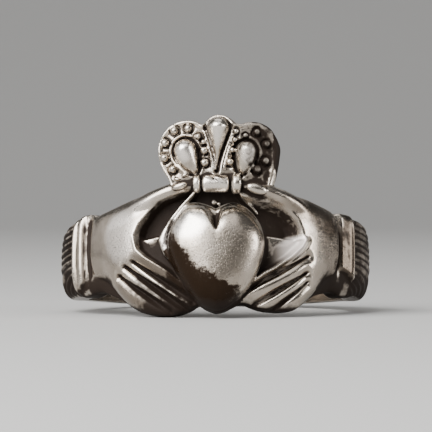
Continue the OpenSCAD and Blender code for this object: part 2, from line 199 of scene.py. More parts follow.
# Cuffs
# Each wrist ends in a sleeve, cast on the band: a smooth cuff, with a wide and a narrow round ridge on
# the left one and one broad worn ridge on the right one, then a frill of pleats that fan out towards
# the back. The right frill's pleats are worn shallow.
hand_end = np.where(right, 10.45, 10.8)
smooth_from = np.where(right, 10.5, 11.5)
smooth_to = np.where(right, 12.1, 12.85)
frill_to = 18.6
# columns: distance along the girth, lower end of the left cuff, of the right
CUFF_FOOT = [(10.6, -1.55, -1.1), (11.4, -1.95, -1.45), (12.2, -2.4, -2.0), (13, -2.9, -2.9)]
# Ridges of the left cuff: distance along the girth, half width, height
LEFT_RIDGES = [(11.97, 0.38, 0.23), (12.63, 0.23, 0.28)]
cuff_h, wrist_groove = 0.08, 0.2
# the right cuff's one ridge: its step up from the wrist, its slow rise and its lip
right_step, right_rise, right_lip = 0.14, 0.12, 0.09
pleat_pitch, pleat_left, pleat_right = 0.45, 0.13, 0.05


def hump(x, w):
    """A soft bump of half width w."""
    return np.exp(-np.square(x / w))


cuff_foot = by_side(CUFF_FOOT, 1, 2)
smooth = ease((d - smooth_from) / 0.3) * ease((smooth_to + 0.1 - d) / 0.16) * ease((z - cuff_foot) / 0.35)
round_off = dome(from_middle, 7, 0.5)
left_ridges = sum(high * dome((d - middle) / half_w, 2, 0.5) for middle, half_w, high in LEFT_RIDGES)
right_ridge = right_step * ease((d - 10.5) / 0.35) + right_rise * ease((d - 10.8) / 1.2)
right_ridge += right_lip * hump(d - 11.85, 0.13)
h += smooth * (cuff_h + np.where(right, right_ridge, left_ridges)) * round_off
cut = np.where(right, hump(d - 10.4, 0.17), hump(d - 11.15, 0.28))
h -= wrist_groove * cut * ease((z - cuff_foot) / 0.3) * round_off
frill = ease((d - smooth_to) / 0.15) * ease((frill_to - d) / 0.9)
fan = (d - 12.5) * (0.06 + 0.42 * ease((-0.2 - z) / 2.6))
pleat = np.cos(2 * math.pi * (z + 0.1 + fan) / pleat_pitch)
pleat = np.where(right, pleat_right * pleat, pleat_left * np.sign(pleat) * np.abs(pleat) ** 0.7)
h += frill * (0.03 + pleat) * round_off

# Hands
# A left and a right hand, their wrists in the cuffs, hold the heart from both sides. Each palm is
# hollowed under the thumb down to the thin rim of the heart's seat, and three grooves part the four
# fingers. Cast relief, worn smooth.
least_t = 0.5
# how far a thumb's sides melt into the hand
thumb_melt = 0.16
thumb_hollow_h, palm_flat_h = 0.9, 1.15
# the fold of the palm: its height along the finger, where, and how it falls away from the heart
fold_z, fold_d, fold_fall = 0.62, 4.6, 0.12
lip_left, lip_right, lip_groove = 0.04, 0.17, 0.2
pit_h, ledge_rise, pit_foot_z = 1.0, 0.65, 2.6
# columns: distance along the girth, lower outline of the left hand and wrist, of the right
HAND_FOOT = [
    (0, -4.5, -4.5), (6.6, -4.02, -4.0), (7.4, -3.5, -3.45), (8.2, -2.85, -2.8), (9.2, -2.1, -1.95),
    (11.2, -1.75, -1.5),
]
# columns: distance along the girth, thickness at the back of the hand
HAND_T = [(0, 2.3), (4.5, 2.35), (6.3, 2.38), (7.4, 2.25), (8.6, 2.05), (9.8, 1.92), (11.2, 1.84)]
# Outer edge of the hollow of each palm, from under the thumb round to the forefinger, in u and z
PALM_LEFT = [
    (-1.2, 3.95), (-1.89, 3.72), (-2.83, 3.47), (-4.02, 3.07), (-4.78, 2.5), (-5.6, 1.62), (-5.94, 0.81),
    (-5.62, -0.19), (-5.02, -0.71), (-4.25, -1.19), (-3.37, -1.75), (-2.54, -2.42), (-1.6, -3.3),
]
PALM_RIGHT = [
    (1.2, 3.75), (2.01, 3.53), (2.92, 3.36), (4.04, 3.17), (4.82, 2.91), (5.38, 2.56), (6.06, 1.96),
    (6.36, 1.3), (6.49, 0.62), (6.14, 0.1), (5.22, -0.72), (4.2, -1.44), (3.3, -1.93), (2.4, -2.6),
    (1.6, -3.3),
]
# Rim of the heart's seat on each side, from under the bar of the crown down to the fingertips, in u and z
SEAT_LEFT = [
    (-1.35, 3.8), (-1.62, 3.5), (-2.42, 2.68), (-3.22, 1.72), (-3.66, 0.92), (-3.84, 0.4), (-3.6, -0.36),
    (-3.12, -1.11), (-2.62, -2.09), (-1.9, -3.1),
]
SEAT_RIGHT = [
    (1.45, 3.7), (1.8, 3.3), (2.75, 2.6), (3.55, 1.65), (3.86, 0.6), (3.74, -0.6), (3.3, -1.6),
    (2.7, -2.6), (1.9, -3.5),
]
# Palms: side, edge, rim of the seat, width of the hollow's wall, rise of the flat away from the heart
PALMS = [(-1, PALM_LEFT, SEAT_LEFT, 0.3, 0.3), (1, PALM_RIGHT, SEAT_RIGHT, 0.95, 0.5)]
# Middle line of each thumb, from the wrist to its tip by the bar of the crown, in u and z
THUMB_LEFT = [(-7.6, 2.0), (-6.6, 2.42), (-5.5, 2.88), (-4.4, 3.32), (-3.4, 3.68), (-2.5, 3.9), (-1.9, 4)]
THUMB_RIGHT = [(7.9, 2.0), (6.9, 2.46), (5.9, 2.9), (4.9, 3.3), (3.8, 3.66), (2.9, 3.83), (2.05, 3.98)]
# Share of the way along a thumb, its half width, the height of its crest
THUMB_SIZE = [
    (0, 0.95, 1.4), (0.18, 0.85, 1.95), (0.4, 0.74, 2.24), (0.6, 0.62, 2.32), (0.8, 0.5, 2.28),
    (0.93, 0.4, 2.18), (1, 0.28, 2.03),
]
# Grooves between the fingers, from knuckle to tip: u, z, u, z, half width, depth
GROOVES = [
    (-6.16, -0.9, -1.75, -3.75, 0.17, 0.5), (-6.82, -1.19, -1.95, -4.5, 0.17, 0.55),
    (-7.44, -1.78, -3.5, -4.4, 0.16, 0.48),
    (6.9, -0.5, 2.6, -2.82, 0.12, 0.38), (6.84, -1.62, 2.9, -3.95, 0.14, 0.42),
    (6.98, -2.24, 4.1, -4.45, 0.12, 0.36),
]


def off_line(u, z, a, b):
    """Distance from the line a to b, and the share of the way along it."""
    a, b = np.array(a, float), np.array(b, float)
    way = b - a
    k = ((u - a[0]) * way[0] + (z - a[1]) * way[1]) / (way @ way)
    held = np.clip(k, 0, 1)
    return np.hypot(u - a[0] - way[0] * held, z - a[1] - way[1] * held), k


def off_path(u, z, path):
    """Distance from a bent line through the points of a path, and the share of the way along it."""
    best, where = np.full(len(u), 99.0), np.zeros(len(u))
    for i, (a, b) in enumerate(zip(path, path[1:])):
        away, k = off_line(u, z, a, b)
        where = np.where(away < best, (i + np.clip(k, 0, 1)) / (len(path) - 1), where)
        best = np.minimum(away, best)
    return best, where


def within(u, z, outline):
    """True for the points inside a closed outline."""
    odd = np.zeros(len(u), bool)
    for (u0, z0), (u1, z1) in zip(outline, outline[1:] + outline[:1]):
        if z0 != z1:
            odd ^= ((z0 > z) != (z1 > z)) & (u < u0 + (z - z0) * (u1 - u0) / (z1 - z0))
    return odd


def inside_edge(u, z, edge):
    """Distance inwards from an edge whose ends lie behind the heart, less than 0 outside it."""
    away = np.min([off_line(u, z, a, b)[0] for a, b in zip(edge, edge[1:])], axis=0)
    return np.where(within(u, z, edge + [(0, edge[-1][1]), (0, edge[0][1])]), away, -away)


hand_foot = np.maximum(by_side(HAND_FOOT, 1, 2), foot)
spread = (2 * z - top - hand_foot) / (top - hand_foot)
hand_edge_t = 1.0 + 0.35 * ease(spread)
hand_h = hand_edge_t + (follow(HAND_T, d) - hand_edge_t) * dome(spread, 2.5, 0.62)
hand_h = np.where((np.abs(spread) < 1) & (d < hand_end), hand_h, 0)
wrist_end = ease((hand_end - d) / 0.35)
h = np.maximum(h, hand_h * wrist_end + h * (1 - wrist_end) * (hand_h > 0))

for thumb_path in (THUMB_LEFT, THUMB_RIGHT):
    from_thumb, up_thumb = off_path(u, z, thumb_path)
    half_w, crest_h = follow(THUMB_SIZE, up_thumb, 1), follow(THUMB_SIZE, up_thumb, 2)
    fall = 1.5 * half_w * (1 - dome(from_thumb / half_w, 2, 0.5))
    thumb_h = np.where(from_thumb < half_w, crest_h - fall, 0)
    h = (h + thumb_h + np.sqrt(np.square(h - thumb_h) + thumb_melt ** 2)) / 2 - thumb_melt / 2

for side, edge, seat, wall_w, flat_rise in PALMS:
    near = (side * u > -0.3) & (d < 7.5)
    deep = inside_edge(u, z, edge)
    # over the fold lies the deep hollow of the thumb, under it a flat that slopes to the heart
    over = ease((z - fold_z + fold_fall * (d - fold_d)) / 0.2)
    thumb_hollow = thumb_hollow_h + (h - thumb_hollow_h) * (1 - ease(deep / wall_w))
    slope = palm_flat_h + flat_rise * np.clip(off_path(u, z, seat)[0] / 2.3, 0, 1)
    flat = slope + (h - slope) * (1 - ease(deep / 0.16))
    carved = over * thumb_hollow + (1 - over) * flat
    if side < 0:
        fold, along_fold = off_line(u, z, (-5.0, 0.78), (-3.75, 0.42))
        carved += 0.1 * hump(fold, 0.16) * ease(along_fold * 2) * ease(deep / 0.3)
    h = np.where(near & (deep > 0), np.minimum(carved, h), h)
    # the palm's edge stands up as a thin lip, on the right hand with a groove outside it
    if side > 0:
        h += near * lip_right * hump(deep - 0.06, 0.12) * ease((0.9 - z) / 0.4)
        h -= near * lip_groove * hump(deep + 0.3, 0.14) * ease((0.9 - z) / 0.5)
    else:
        h += near * lip_left * hump(deep + 0.04, 0.08) * ease((0.9 - z) / 0.4)

# the heart's seat: a deep pit under the bar, a ledge further down, and a rim along each side
in_seat = within(u, z, SEAT_LEFT + SEAT_RIGHT[::-1]) & (d < 4.2)
ledge = pit_h + ledge_rise * ease((2.45 - z) / 0.5) * ease((1.5 - u) / 3)
h = np.where(in_seat, np.where(z < pit_foot_z, np.maximum(h, ledge), np.minimum(h, pit_h)), h)
from_seat, down_seat = off_path(u, z, SEAT_LEFT)
seat_w = 0.16 + 0.28 * hump(down_seat - 0.58, 0.17)
seat_h = (1.72 + 0.2 * hump(down_seat - 0.5, 0.3)) * dome(np.clip(from_seat / seat_w, 0, 1), 3, 0.25)
h = np.where(u < -1.1, np.maximum(h, seat_h), h)
seat_h = 1.4 * dome(np.clip(off_path(u, z, SEAT_RIGHT)[0] / 0.14, 0, 1), 3, 0.3)
h = np.where((u > 1.1) & (z > 2.2), np.maximum(h, seat_h), h)

for u0, z0, u1, z1, width, depth in GROOVES:
    away, k = off_line(u, z, (u0, z0), (u1, z1))
    wide = width * (0.6 + 0.9 * ease(k * 1.4))
    cut = depth * ease(k * 9 + 0.6) * (1 - 0.4 * ease((k - 0.6) * 2.5))
    h -= 0.8 * cut * dome(np.clip(away / (wide * 1.3), 0, 1), 1.5, 1.1) + 0.7 * cut * hump(away, 0.36)

put_spots(band, np.column_stack([u, z, np.maximum(h, least_t)]))
thicken(band)

# Heart
# A plump heart between the hands: a thin foot with a crisp edge, a steep wall, and a smooth dome
# with a sharp cleft cut down from between its lobes. Cast with the hands, and polished by wear.
heart_z = -0.4
foot_h, heart_h = 1.95, 3.42
cleft_u, cleft_tip = 0.1, 0.83
# Outline of the heart's foot: degrees from the top, left distance and right distance from its middle
HEART_EDGE = [
    (0, 2.9, 2.9), (11, 3.23, 3.26), (22, 3.6, 3.6), (34, 3.92, 3.72), (46, 3.9, 3.75), (58, 3.83, 3.77),
    (72, 3.71, 3.68), (90, 3.43, 3.44), (106, 3.23, 3.34), (122, 3.19, 3.36), (138, 3.34, 3.48),
    (152, 3.6, 3.65), (164, 3.9, 3.88), (173, 4.04, 4.1), (180, 4.14, 4.14),
]


def heart_edge(angle):
    turn = np.degrees(np.abs(angle))
    return np.where(angle < 0, follow(HEART_EDGE, turn, 1), follow(HEART_EDGE, turn, 2))


def wax_ball(segments, rings, radius=1):
    """A ball of wax, to be shaped."""
    bpy.ops.object.select_all(action="DESELECT")
    bpy.ops.mesh.primitive_uv_sphere_add(segments=segments, ring_count=rings, radius=radius)
    return bpy.context.object


def heart_part(inset, top_inset, low, high, power, root, cleft):
    """A domed heart from one height to another, set in from the outline, with the cleft or without it."""
    piece = wax_ball(160, 80)
    x, y, up = spots_of(piece).T
    q = np.hypot(x, y)
    angle = np.arctan2(x, y)
    edge_in = inset + (top_inset - inset) * ease(np.cos(angle) * 1.4)
    reach = (heart_edge(angle) - edge_in) * q
    hu, hz = reach * np.sin(angle), heart_z + reach * np.cos(angle)
    rise = dome(q, power, root)
    if cleft:
        notch = heart_z + heart_edge(np.zeros(1))[0] - top_inset
        k = np.clip((hz - cleft_tip) / (notch - cleft_tip), 0, 1.2)
        off = hu - cleft_u * k
        wide = np.where(off < 0, 0.09 + 0.8 * k, 0.05 + 0.26 * k)
        rise = rise * (1 - (0.42 + 0.55 * k) * ease(k * 7) * dome(np.clip(off / wide, -1, 1), 1.25, 1.15))
    put_spots(piece, np.column_stack([hu, hz, np.where(up >= 0, low + (high - low) * rise, 0.3)]))
    parts.append(piece)


heart_part(-eased, -eased, 1.2, foot_h, 14, 0.5, False)
heart_part(0.05, 0.26, foot_h - 0.4, heart_h, 3.0, 0.5, True)

# Crown
# A three-lobed plate on the hands' thumbs, its edge bevelled, with a row of beads along each side
# lobe, a drop on each lobe, rims between them, and a ringed bar across its foot. One casting with
# the hands; the right half is the more worn.
crown_foot = 4.0
# height of the plate's outer edge, its bevel's rise and the top that the beads sit on
plate_edge_h, bevel_h, plate_top = 1.25, 0.72, 1.83
# depth of the dirt groove round a bead and round a drop, and the fine rim outside a drop's
bead_moat, drop_moat, drop_rim = 0.18, 0.28, 0.1
# Side outline from the foot up: share of the way, left u, left z, right u, right z
CROWN_SIDE = [
    (0, -3.2, 4.0, 4.25, 4.0), (0.13, -3.4, 4.5, 4.4, 4.5), (0.32, -3.8, 5.15, 4.55, 5.1),
    (0.55, -4.08, 5.9, 4.7, 5.95), (0.78, -4.14, 6.65, 4.75, 6.75), (1, -3.96, 7.38, 4.48, 7.42),
]
# Upper outline from the left shoulder to the right one: share of the way, u, z
CROWN_TOP = [
    (0, -3.96, 7.38), (0.09, -3.5, 7.98), (0.18, -2.8, 8.42), (0.28, -2.0, 8.56), (0.37, -1.3, 8.45),
    (0.41, -0.92, 8.3), (0.45, -0.62, 8.6), (0.49, -0.25, 8.84), (0.53, 0.1, 8.94), (0.58, 0.55, 8.9),
    (0.63, 0.98, 8.72), (0.68, 1.5, 8.36), (0.76, 2.3, 8.48), (0.86, 3.3, 8.42), (0.93, 3.98, 8.08),
    (1, 4.48, 7.42),
]
# Beads: u, z, radius
BEADS = [
    (-2.86, 7.8, 0.27), (-1.9, 7.93, 0.27), (-1.22, 7.36, 0.2), (-0.87, 6.98, 0.17), (-0.82, 6.4, 0.27),
    (-0.79, 5.57, 0.28), (-3.52, 7.0, 0.28), (-3.57, 5.98, 0.28), (-2.98, 5.18, 0.26),
    (1.36, 7.72, 0.18), (1.28, 7.15, 0.17), (2.02, 7.46, 0.17), (2.8, 7.7, 0.24), (3.48, 6.94, 0.25),
    (3.42, 5.76, 0.27), (2.82, 5.17, 0.3), (1.12, 6.45, 0.19), (0.95, 5.62, 0.26),
]
bead_h = plate_top + 0.12
# Drops: head, tip, radius, height, two powers for how the tail narrows, bow to a side
DROPS = [
    ((0.12, 7.9), (0.05, 5.05), 0.78, 3.05, 1, 1.4, 0),
    ((-2.1, 6.42), (-1.35, 4.75), 0.8, 2.9, 1.7, 0.62, -0.08),
    ((2.07, 6.36), (1.72, 4.75), 0.74, 2.8, 1.7, 0.6, 0.05),
]
drop_deep = 1.7
# Rims beside and under the drops: u, z, h and radius of each point
RIMS = [
    [(-0.8, 7.75, 1.88, 0.12), (-0.52, 6.8, 1.88, 0.12), (-0.22, 5.8, 1.88, 0.12), (-0.04, 5.1, 1.86, 0.1)],
    [(1.2, 7.66, 1.84, 0.08), (1.0, 6.8, 1.86, 0.09), (0.75, 5.95, 1.86, 0.09), (0.56, 5.2, 1.84, 0.09)],
    [(-2.95, 5.7, 1.86, 0.08), (-2.5, 5.2, 1.9, 0.12), (-1.95, 4.75, 1.88, 0.12)],
    [(2.75, 6.0, 1.9, 0.08), (2.5, 5.55, 2.0, 0.12), (2.26, 5.1, 1.98, 0.12), (2.2, 4.85, 1.84, 0.1)],
]
# The bar and its two rings: u, half length, radius, squareness of the ends
bar_h, bar_z = 1.95, 4.14
BARRELS = [(-0.03, 0.9, 0.58, 16), (-1.3, 0.25, 0.62, 5), (1.37, 0.33, 0.68, 5)]
# Soft lumps: over the bar, two grains in the pit, the worn leaf on the bar, two by its left end.
# columns: u, z, h, radius, stretch, turn, segments
LUMPS = [
    (0.0, 4.52, 1.6, 1, (1.5, 0.18, 0.22), 0, 48),
    (-0.15, 2.96, 1.25, 0.2), (0.22, 2.86, 1.2, 0.14),
    (-0.42, 4.46, 2.44, 1, (0.36, 0.1, 0.12), -0.4), (0.3, 4.36, 2.5, 1, (0.42, 0.09, 0.1), -0.35),
    (-2.15, 4.75, 1.8, 1, (0.3, 0.14, 0.2), 0.3), (-2.7, 4.5, 1.8, 1, (0.3, 0.13, 0.2), -0.3),
]


def edge_points(table, share, column):
    """Points of an outline, from the u and z columns of its table."""
    return np.column_stack([follow(table, share, column), follow(table, share, column + 1)])


def tube(points):
    """A round rim along points of u, z, h and radius, drawn as a curve and made a mesh."""
    bpy.ops.object.select_all(action="DESELECT")
    bpy.ops.curve.primitive_nurbs_path_add()
    rim = bpy.context.object
    rim.data.splines.clear()
    spline = rim.data.splines.new("NURBS")
    spline.points.add(len(points) - 1)
    for point, (pu, pz, ph, pr) in zip(spline.points, points):
        point.co = (pu, pz, ph, 1)
        point.radius = pr
    spline.order_u = 3
    spline.use_endpoint_u = True
    rim.data.resolution_u = 8
    rim.data.bevel_depth = 1
    rim.data.bevel_resolution = 3
    rim.data.use_fill_caps = True
    bpy.ops.object.convert(target="MESH")
    parts.append(bpy.context.object)


def ball(bu, bz, bh, radius, stretch=(1, 1, 1), turn=0.0, segments=24):
    """A bead or a soft lump: a sphere, stretched, turned in the face's plane and set at its height."""
    piece = wax_ball(segments, segments // 2, radius)
    spots = spots_of(piece) * stretch
    spin = np.array(Matrix.Rotation(turn, 3, "Z"))
    put_spots(piece, spots @ spin.T + (bu, bz, bh))
    parts.append(piece)


def drop(head, tip, radius, high, fall, root, bow):
    """A teardrop: a ball drawn out to a point at its tip, in u and z, with a bow to one side."""
    piece = wax_ball(48, 48)
    x, y, up = spots_of(piece).T
    head, tip = np.array(head), np.array(tip)
    way = tip - head
    length = np.hypot(*way)
    way = way / length
    side = np.array([-way[1], way[0]])
    tail = y > 0
    k = np.where(tail, np.clip(y, 0, 1), 0)
    narrow = (1 - k ** fall) ** root
    slice_r = np.maximum(np.sqrt(1 - k * k), 1e-3)
    across = x / slice_r * np.where(tail, narrow, 1) * radius
    round_up = up / slice_r * np.where(tail, narrow ** 0.75 * (1 - 0.25 * k), 1)
    forth = np.where(tail, k * length, y * radius)
    spots = head + np.outer(forth, way) + np.outer(across + bow * np.sin(math.pi * k), side)
    put_spots(piece, np.column_stack([spots, drop_deep + (high - drop_deep) * round_up]))
    parts.append(piece)


def barrel(bu, half_w, radius, power):
    """A turned length of the bar, round and softened at its two ends."""
    piece = wax_ball(48, 64)
    x, y, end = spots_of(piece).T
    full = dome(np.clip(end, -1, 1), power, 0.5) / np.maximum(np.hypot(x, y), 1e-3) * radius
    put_spots(piece, np.column_stack([bu + half_w * end, bar_z + x * full, bar_h + y * full]))
    parts.append(piece)


crown, s, t = sheet(190, 120)
foot_l, foot_r = CROWN_SIDE[0][1], CROWN_SIDE[0][3]
corner_l, corner_r = CROWN_TOP[0][1:], CROWN_TOP[-1][1:]
low_u, low_z = foot_l + (foot_r - foot_l) * s, np.full(len(s), crown_foot)
top_u, top_z = edge_points(CROWN_TOP, s, 1).T
left_u, left_z = edge_points(CROWN_SIDE, t, 1).T
right_u, right_z = edge_points(CROWN_SIDE, t, 3).T
corner_u = (1 - t) * low_u + t * (corner_l[0] + (corner_r[0] - corner_l[0]) * s)
corner_z = (1 - t) * low_z + t * (corner_l[1] + (corner_r[1] - corner_l[1]) * s)
cu = (1 - t) * low_u + t * top_u + (1 - s) * left_u + s * right_u - corner_u
cz = (1 - t) * low_z + t * top_z + (1 - s) * left_z + s * right_z - corner_z
rim_line = np.concatenate([
    edge_points(CROWN_SIDE, np.linspace(0, 1, 40), 1),
    edge_points(CROWN_TOP, np.linspace(0, 1, 120), 1),
    edge_points(CROWN_SIDE, np.linspace(1, 0, 40), 3),
])
from_rim = np.full(len(cu), 9.0)
for a, b in zip(rim_line, rim_line[1:]):
    if np.hypot(*(b - a)) > 0:
        from_rim = np.minimum(from_rim, off_line(cu, cz, a, b)[0])
bevel_w = 0.16 + 0.44 * ease((cu - 2.6) / 1.4) + 0.14 * ease((cz - 8) / 0.5) * ease((cu + 1.6) / 1.2)
plate_h = plate_edge_h + bevel_h * dome(np.clip(1 - from_rim / bevel_w, 0, 1), 2, 0.5)
plate_h -= 0.14 * ease((from_rim - bevel_w - 0.05) / 0.2)
for bu, bz, radius in BEADS:
    plate_h -= bead_moat * hump(np.hypot(cu - bu, cz - bz) - radius - 0.02, 0.09)
for head, tip, radius, high, fall, root, bow in DROPS:
    away, k = off_line(cu, cz, head, tip)
    away -= radius * (1 - np.clip(k, 0, 1) ** fall) ** root
    plate_h -= drop_moat * hump(np.maximum(away - 0.05, 0), 0.09)
    plate_h += drop_rim * hump(away - 0.3, 0.1) * (from_rim > bevel_w)
put_spots(crown, np.column_stack([cu, cz, plate_h]))
thicken(crown)

for bu, bz, radius in BEADS:
    ball(bu, bz, bead_h, radius)
for row in DROPS:
    drop(*row)
for points in RIMS:
    tube(points)
for row in BARRELS:
    barrel(*row)
for row in LUMPS:
    ball(*row)

# Nails
# A clear oval nail lies on the tip of each thumb, cast with it.
# The left one is short and narrow, the right one broad and rubbed flat.
ball(-2.45, 3.96, 2.18, 1, (0.55, 0.24, 0.24), 0.3, 32)
ball(2.78, 3.8, 2.2, 1, (0.74, 0.36, 0.26), -0.24, 32)

# Casting
# The wax parts are bent round the finger, run into one skin as molten silver fills the mould, and
# eased as wear eases them. The hole is then true to its round.
voxel = 0.06
most_faces, plain_faces = 196000, 30000
# metal this close to the hole is its wall; the back is plain beyond this distance along the girth
wall_t, plain_from = 0.12, 14
# the flat map in which the relief is read back: size of a cell, how far it reaches down, its height
pitch, map_foot, map_high = 0.07, 5, 14.5


def bend(spots):
    u, z, h = spots.T
    turn, r = u / face_r, hole_r(z) + h
    return np.column_stack([r * np.sin(turn), -r * np.cos(turn), z])


def modify(piece, kind, **settings):
    only(piece)
    modifier = piece.modifiers.new(kind.title(), kind)
    for name, value in settings.items():
        setattr(modifier, name, value)
    bpy.ops.object.modifier_apply(modifier=modifier.name)


def triangles_of(piece):
    piece.data.calc_loop_triangles()
    return len(piece.data.loop_triangles)


bpy.ops.object.select_all(action="DESELECT")
for part in parts:
    part.select_set(True)
bpy.context.view_layer.objects.active = band
bpy.ops.object.join()
ring = bpy.context.object
ring.name = ring.data.name = "ring_casting"
put_spots(ring, bend(spots_of(ring)))
modify(ring, "REMESH", mode="VOXEL", voxel_size=voxel, use_smooth_shade=True)
modify(ring, "SMOOTH", factor=0.5, iterations=2)

# the hole's wall and the plain back need few faces, the relief keeps all of them
spots = spots_of(ring)
r = np.hypot(spots[:, 0], spots[:, 1])
girth_d = np.abs(np.arctan2(spots[:, 0], -spots[:, 1])) * face_r
plain = (r < hole_r(spots[:, 2]) + wall_t) | (girth_d > plain_from)
ring.vertex_groups.new(name="plain").add(np.flatnonzero(plain).tolist(), 1.0, "ADD")
faces = triangles_of(ring)
if faces > most_faces:
    kept = faces * (1 - plain.mean())
    modify(ring, "DECIMATE", ratio=(kept + plain_faces) / faces, vertex_group="plain")
faces = triangles_of(ring)
if faces > most_faces:
    modify(ring, "DECIMATE", ratio=most_faces / faces)
ring.vertex_groups.clear()

spots = spots_of(ring)
r = np.hypot(spots[:, 0], spots[:, 1])
hole = hole_r(spots[:, 2])
outer = r >= hole + wall_t
true = 1 + (hole / r - 1) * (1 - ease((r - hole - 0.02) / 0.12))
spots[:, 0] *= true
spots[:, 1] *= true

# the relief is read back in the flat, for the dirt that settles in it
flat_u = np.arctan2(spots[:, 0], -spots[:, 1]) * face_r
flat_h = np.maximum(r - hole, 0)
cells = (int(2 * half_girth / pitch) + 1, int(map_high / pitch) + 1)
ci = np.clip(((flat_u + half_girth) / pitch).astype(int), 0, cells[0] - 1)
cj = np.clip(((spots[:, 2] + map_foot) / pitch).astype(int), 0, cells[1] - 1)
total, count = np.zeros(cells), np.zeros(cells)
np.add.at(total, (ci[outer], cj[outer]), flat_h[outer])
np.add.at(count, (ci[outer], cj[outer]), 1)


def blur(grid, sigma):
    reach = int(3 * sigma / pitch) + 1
    kernel = np.exp(-0.5 * np.square(np.arange(-reach, reach + 1) * pitch / sigma))
    kernel /= kernel.sum()
    for axis, margin in enumerate((((reach, reach), (0, 0)), ((0, 0), (reach, reach)))):
        grid = np.apply_along_axis(np.convolve, axis, np.pad(grid, margin, mode="edge"), kernel, "valid")
    return grid


def sunk(sigma):
    """How far each point of the skin lies under the mean height of a patch of that size round it."""
    around = (blur(total, sigma) / np.maximum(blur(count, sigma), 1e-6))[ci, cj]
    return np.where(outer, around - flat_h, 0)


def keep(name, values):
    layer = ring.data.attributes.new(name, "FLOAT", "POINT")
    layer.data.foreach_set("value", np.asarray(values, np.float32))


# the ring lies on its side: turned with the hole's axis and moved to its place in the frame
lie = np.array(Vector((0, 0, 1)).rotation_difference(Vector(bore["axis"])).to_matrix())
put_spots(ring, spots @ lie.T * 0.001 + np.array(bore["pos_m"]))
faces_way = np.empty(len(spots) * 3)
ring.data.vertices.foreach_get("normal", faces_way)
faces_way = faces_way.reshape(-1, 3) @ lie
outwards = (faces_way[:, 0] * spots[:, 0] + faces_way[:, 1] * spots[:, 1]) / r
# for painted shade: how far the skin turns away from facing out, to darken the steep walls
keep("flank", np.where(outer, 1 - outwards, 0))
# the metal beside the hole and the flat rim of the shank are as clean as the hole's wall, and take its
# painted shade
beside_hole = (spots[:, 2] > 0) * ease((0.95 - flat_h) / 0.3)
sideways = faces_way[:, 2] * np.sign(spots[:, 2])
shank_rim = ease((sideways - 0.75) / 0.2) * ease((np.abs(flat_u) - 12.6) / 0.5)
keep("inside", np.maximum(~outer, np.maximum(beside_hole, shank_rim)))
keep("recess", sunk(0.16))
keep("hollow", sunk(0.55))
keep("shade", sunk(1.4))
keep("face_u", flat_u)
# the back lies far above all patches of the face, so none shows where the girth's two ends meet
keep("face_z", spots[:, 2] + 40 * ease((np.abs(flat_u) - 20) / 2))
only(ring)
bpy.ops.object.shade_smooth()
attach(ring, "root")
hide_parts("ring")

# Finish
# Old silver, polished by wear on its crests, with bright patches on the drops, the bar, the seat's rim, the
# heart's upper left and the left hand that are partly painted highlight. Dark sulphide sits in every groove
# and hollow, brown tarnish, partly painted shade, lies on the heart's lower left and on some fingers, and
# fine pits and scratches dull the heart and the backs of the hands. Painted shade darkens the steep walls,
# the hole's wall, the frills, the undersides, the crown's right side and the right cuff, and painted light
# brightens the flat of the right palm.
silver = bpy.data.materials.new("tarnished_silver")
silver.use_nodes = True
tree = silver.node_tree
bsdf = tree.nodes["Principled BSDF"]
# Spots on the face: u, z, half width, half height, turn, how broken the edge is, strength
# painted shade, with some dirt: spots darkened on the cuffs, the wrists, the palms, the fingers, the
# crown's right side, the pit and the bar's gaps and creases; the two rows of negative strength paint light
# on the crown's left and the right fingers
SHADE_AND_DIRT_SPOTS = [
    (11.15, 0.4, 0.5, 2.7, 0, 0.15, 0.2), (9.5, 0.3, 1.4, 2.6, 0, 0.8, 0.12),
    (-11.15, 0.5, 0.32, 2.6, 0, 0.2, 0.5), (10.35, 0.3, 0.3, 2.6, 0, 0.2, 0.4),
    (-3.3, -2.0, 2.0, 0.55, -0.55, 0.5, 0.27), (0, 2.9, 0.6, 0.3, 0, 0.2, 0.2),
    (7, 1, 4, 4, 0, 1.6, 0.05), (3.3, 6.6, 1.7, 2.4, 0, 1.6, 0.42),
    (4.6, 6.4, 0.62, 2.3, 0.05, 0.4, 0.75), (3.9, 1.6, 1.4, 1.4, 0, 0.2, 0.1),
    (-4.0, 2.0, 1.3, 1.6, 0, 1.6, 0.15), (-4.7, 0.25, 0.9, 0.6, 0, 1.6, 0.1),
    (-2.0, 6.4, 2.2, 2.4, 0, 1.6, -0.1), (4.6, -2.6, 2.4, 1.2, 0.5, 1.6, -0.22),
    (-1.0, 4.14, 0.07, 0.6, 0, 0.2, 0.8), (0.96, 4.14, 0.07, 0.6, 0, 0.2, 0.8),
    (-0.15, 4.4, 0.42, 0.05, -0.5, 0.2, 0.7), (0.35, 4.5, 0.4, 0.04, -0.25, 0.2, 0.7),
    (-4.2, -3.5, 3.2, 1.2, -0.45, 0.5, 0.36), (6.9, 2.7, 2.6, 0.8, -0.4, 0.8, 0.12),
]
# brown tarnish, partly painted shade: the heart's lower left and its left wall, the fingers, the right
# wrist
TARNISH_AND_SHADE = [
    (-2.5, -1.6, 1.1, 2.3, 0.42, 1.6, 1.5), (-1.2, -3.0, 2.4, 1.35, -0.45, 1.6, 1.4),
    (0.2, -3.6, 1.9, 1.1, 0, 1.6, 1), (-3.0, 0.3, 0.42, 2.1, 0.12, 0.6, 0.8),
    (10.2, -0.7, 0.6, 0.6, 0, 1.6, 0.7),
]
PITTED = [
    (0.4, -0.6, 2.3, 2.0, 0.4, 1.6, 1), (-7.0, 0.4, 1.3, 1.9, 0.2, 1.6, 1),
    (6.6, 1.0, 1.2, 2.2, 0, 1.6, 0.25),
]
